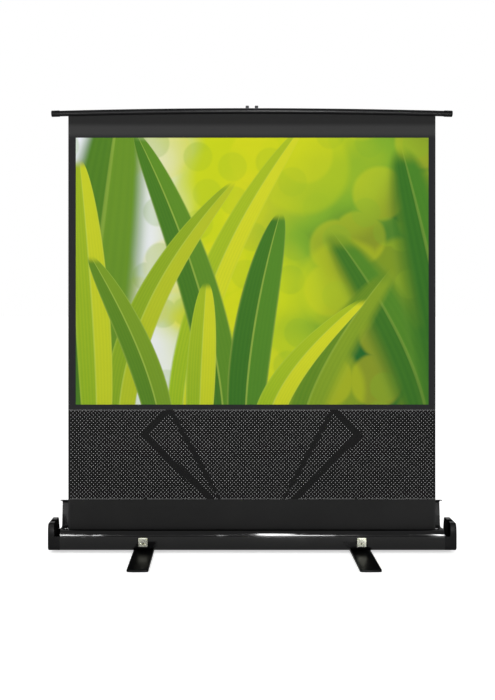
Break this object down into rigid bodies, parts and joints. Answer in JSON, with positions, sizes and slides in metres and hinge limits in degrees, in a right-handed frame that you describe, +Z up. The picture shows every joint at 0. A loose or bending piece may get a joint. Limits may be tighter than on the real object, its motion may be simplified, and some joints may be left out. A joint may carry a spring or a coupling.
{
  "type": "floor-standing projector screen",
  "caption": "Pull-up projector screen on a long floor case with an open lid, raised by crossed folding arms and gas struts, standing on turn-out feet.",
  "frame": {"origin": "on the floor, under the middle of the case", "axes": "+Z up, +X along the case to the viewer's right, the picture faces -Y"},
  "size_m": [1.395, 0.5, 1.5373],
  "materials": {
    "gloss_black_metal": "gloss black",
    "black_plastic": "semi-gloss black moulding",
    "arm_black": "satin black",
    "steel": "zinc plated",
    "chrome": "bright plated",
    "aluminium": "bare extrusion",
    "rubber": "matt",
    "picture_cloth": null,
    "mesh_cloth": "black perforated cloth",
    "plain_cloth": "plain black cloth"
  },
  "bodies": {
    "case": {"case_body": "gloss_black_metal", "end_cap_left": "black_plastic", "end_cap_right": "black_plastic", "bearing_plate_left": "steel", "bearing_plate_right": "steel", "spring_arbor": "steel", "return_spring": "steel", "base_bracket": "steel", "base_rivet": "steel", "anchor_stud_left": "steel", "anchor_stud_right": "steel", "latch_plate_left": "chrome", "latch_plate_right": "chrome", "latch_pin_left": "chrome", "latch_pin_right": "chrome", "foot_washer_left": "black_plastic", "foot_washer_right": "black_plastic", "foot_rivet_left": "steel", "foot_rivet_right": "steel", "picture_sheet": "picture_cloth", "mesh_drop": "mesh_cloth", "lower_band": "plain_cloth"},
    "roller": {"roller_tube": "aluminium", "cloth_roll": "plain_cloth", "roller_plug_left": "steel", "roller_plug_right": "steel"},
    "lid": {"lid": "gloss_black_metal", "lid_keeper_left": "chrome", "lid_keeper_right": "chrome"},
    "latch_left": {"latch_hasp_left": "chrome"},
    "latch_right": {"latch_hasp_right": "chrome"},
    "foot_left": {"foot_left": "gloss_black_metal", "foot_pad_front_left": "rubber", "foot_pad_rear_left": "rubber"},
    "foot_right": {"foot_right": "gloss_black_metal", "foot_pad_front_right": "rubber", "foot_pad_rear_right": "rubber"},
    "lower_arm_left": {"lower_arm_left": "arm_black", "elbow_rivet_low_left": "steel"},
    "lower_arm_right": {"lower_arm_right": "arm_black", "elbow_rivet_low_right": "steel"},
    "cross_arm_rear": {"cross_arm_rear": "arm_black", "middle_rivet": "steel", "strut_stud_left": "steel", "elbow_rivet_high_right": "steel"},
    "cross_arm_front": {"cross_arm_front": "arm_black", "strut_stud_right": "steel", "elbow_rivet_high_left": "steel"},
    "upper_arm_left": {"upper_arm_left": "arm_black"},
    "upper_arm_right": {"upper_arm_right": "arm_black"},
    "bar": {"top_bar": "gloss_black_metal", "hem_rod": "steel", "bar_cap_left": "black_plastic", "bar_cap_right": "black_plastic", "bar_hanger": "steel", "top_rivet": "steel"},
    "strut_cylinder_left": {"strut_cylinder_left": "arm_black"},
    "strut_cylinder_right": {"strut_cylinder_right": "arm_black"},
    "strut_rod_left": {"strut_rod_left": "steel"},
    "strut_rod_right": {"strut_rod_right": "steel"}
  },
  "joints": [
    {"name": "fold", "type": "hinge", "parent": "case", "child": "lower_arm_left", "pos_m": [0, 0.0115, 0.034], "axis": [0, -1, 0], "range_deg": [0, 42.9], "deforming": ["picture_sheet", "mesh_drop", "lower_band"]},
    {"name": "lower_right_pivot", "type": "hinge", "parent": "case", "child": "lower_arm_right", "pos_m": [0, 0.005, 0.034], "axis": [0, -1, 0], "range_deg": [-43, 0]},
    {"name": "low_left_elbow", "type": "hinge", "parent": "lower_arm_left", "child": "cross_arm_rear", "pos_m": [-0.37301, 0.018, 0.39902], "axis": [0, -1, 0], "range_deg": [-86, 0]},
    {"name": "low_right_elbow", "type": "hinge", "parent": "lower_arm_right", "child": "cross_arm_front", "pos_m": [0.37301, 0.0115, 0.39902], "axis": [0, -1, 0], "range_deg": [0, 86]},
    {"name": "high_right_elbow", "type": "hinge", "parent": "cross_arm_rear", "child": "upper_arm_right", "pos_m": [0.37301, 0.0115, 1.12907], "axis": [0, -1, 0], "range_deg": [0, 86]},
    {"name": "high_left_elbow", "type": "hinge", "parent": "cross_arm_front", "child": "upper_arm_left", "pos_m": [-0.37301, 0.018, 1.12907], "axis": [0, -1, 0], "range_deg": [-86, 0]},
    {"name": "bar_pivot", "type": "hinge", "parent": "upper_arm_right", "child": "bar", "pos_m": [0, 0.0115, 1.4941], "axis": [0, -1, 0], "range_deg": [-43, 0]},
    {"name": "strut_left_pivot", "type": "hinge", "parent": "cross_arm_rear", "child": "strut_cylinder_left", "pos_m": [-0.28582, 0.032, 0.48435], "axis": [0, -1, 0], "range_deg": [0, 102]},
    {"name": "strut_right_pivot", "type": "hinge", "parent": "cross_arm_front", "child": "strut_cylinder_right", "pos_m": [0.28582, 0.032, 0.48435], "axis": [0, -1, 0], "range_deg": [-102, 0]},
    {"name": "strut_left_slide", "type": "slide", "parent": "strut_cylinder_left", "child": "strut_rod_left", "axis": [-0.4851, 0, 0.8745], "range_m": [0, 0.2]},
    {"name": "strut_right_slide", "type": "slide", "parent": "strut_cylinder_right", "child": "strut_rod_right", "axis": [0.4851, 0, 0.8745], "range_m": [0, 0.2]},
    {"name": "roller_turn", "type": "hinge", "parent": "case", "child": "roller", "pos_m": [0, -0.024, 0.044], "axis": [-1, 0, 0], "range_deg": [0, 4420]},
    {"name": "lid_hinge", "type": "hinge", "parent": "case", "child": "lid", "pos_m": [0, 0.04875, 0.0627], "axis": [1, 0, 0], "range_deg": [0, 10]},
    {"name": "latch_left_hinge", "type": "hinge", "parent": "case", "child": "latch_left", "pos_m": [-0.372, -0.054, 0.0548], "axis": [-1, 0, 0], "range_deg": [0, 170]},
    {"name": "latch_right_hinge", "type": "hinge", "parent": "case", "child": "latch_right", "pos_m": [0.372, -0.054, 0.0548], "axis": [-1, 0, 0], "range_deg": [0, 170]},
    {"name": "foot_left_turn", "type": "hinge", "parent": "case", "child": "foot_left", "pos_m": [-0.372, 0, 0.005], "axis": [0, 0, 1], "range_deg": [0, 90]},
    {"name": "foot_right_turn", "type": "hinge", "parent": "case", "child": "foot_right", "pos_m": [0.372, 0, 0.005], "axis": [0, 0, 1], "range_deg": [-90, 0]}
  ],
  "couplings": [
    {"joint": "lower_right_pivot", "follows": "fold", "ratio": -1},
    {"joint": "low_left_elbow", "follows": "fold", "ratio": -2},
    {"joint": "low_right_elbow", "follows": "fold", "ratio": 2},
    {"joint": "high_right_elbow", "follows": "fold", "ratio": 2},
    {"joint": "high_left_elbow", "follows": "fold", "ratio": -2},
    {"joint": "bar_pivot", "follows": "fold", "ratio": -1},
    {"joint": "strut_left_pivot", "follows": "fold", "ratio": 2.36},
    {"joint": "strut_right_pivot", "follows": "fold", "ratio": -2.36},
    {"joint": "strut_left_slide", "follows": "fold", "m_per_rad": 0.255},
    {"joint": "strut_right_slide", "follows": "fold", "m_per_rad": 0.255},
    {"joint": "roller_turn", "follows": "fold", "ratio": 102.6}
  ]
}
